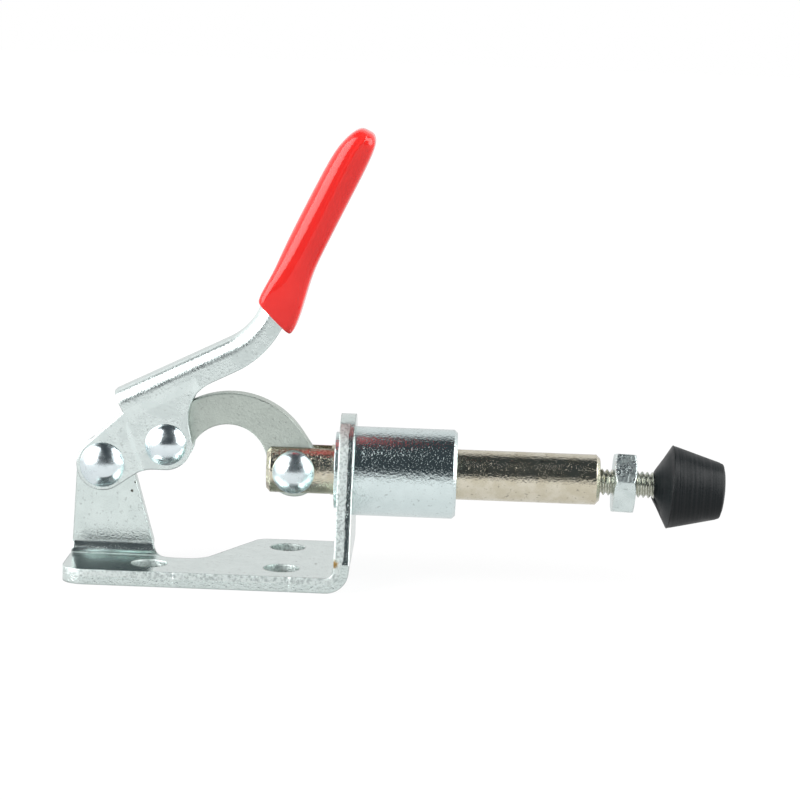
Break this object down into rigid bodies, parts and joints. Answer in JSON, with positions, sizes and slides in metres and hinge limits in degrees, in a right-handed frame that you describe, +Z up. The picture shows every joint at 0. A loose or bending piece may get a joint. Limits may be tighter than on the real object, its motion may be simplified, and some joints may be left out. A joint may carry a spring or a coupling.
{
  "type": "push-pull toggle clamp",
  "caption": "Small push-pull toggle clamp: a folded flanged base, a slotted plunger in a guide barrel, a bent link, a channel lever with a vinyl grip, and a rubber tip on a threaded spindle.",
  "frame": {"origin": "on the underside of the base, midway between the two front bolt holes", "axes": "+X along the plunger towards the rubber tip, +Z up from the base, +Y to the left when looking along +X"},
  "size_m": [0.1038, 0.028, 0.0711],
  "materials": {
    "zinc_plated_stamping": "bright zinc plated stamped steel",
    "zinc_plated_turning": "bright zinc plated turned steel",
    "dull_zinc_link": "tumbled and dull zinc plated steel",
    "rivet_zinc": "bright zinc plated formed head",
    "red_vinyl": "glossy dipped vinyl",
    "black_rubber": "dull moulded rubber with fine lathe-like lines"
  },
  "bodies": {
    "frame": {"frame": "zinc_plated_stamping", "guide_barrel": "zinc_plated_turning"},
    "handle": {"handle_lever": "zinc_plated_stamping", "handle_grip": "red_vinyl", "rear_pivot_rivet": "rivet_zinc", "link_rivet": "rivet_zinc"},
    "link": {"link": "dull_zinc_link"},
    "plunger": {"plunger_rod": "zinc_plated_turning", "plunger_rivet": "rivet_zinc", "spindle_bolt": "zinc_plated_turning", "lock_nut": "zinc_plated_turning", "rubber_cap": "black_rubber"}
  },
  "joints": [
    {"name": "handle_hinge", "type": "hinge", "parent": "frame", "child": "handle", "pos_m": [-0.02915, 0, 0.017], "axis": [0, -1, 0], "range_deg": [-20.5, 85]},
    {"name": "link_hinge", "type": "hinge", "parent": "handle", "child": "link", "pos_m": [-0.01908, 0, 0.02062], "axis": [0, -1, 0], "range_deg": [-101, 24.5]},
    {"name": "plunger_slide", "type": "slide", "parent": "frame", "child": "plunger", "axis": [1, 0, 0], "range_m": [-0.0116, 0.0028]}
  ],
  "couplings": [
    {"joint": "link_hinge", "follows": "handle_hinge", "ratio": -1.185},
    {"joint": "plunger_slide", "follows": "handle_hinge", "m_per_rad": -0.0077922}
  ]
}
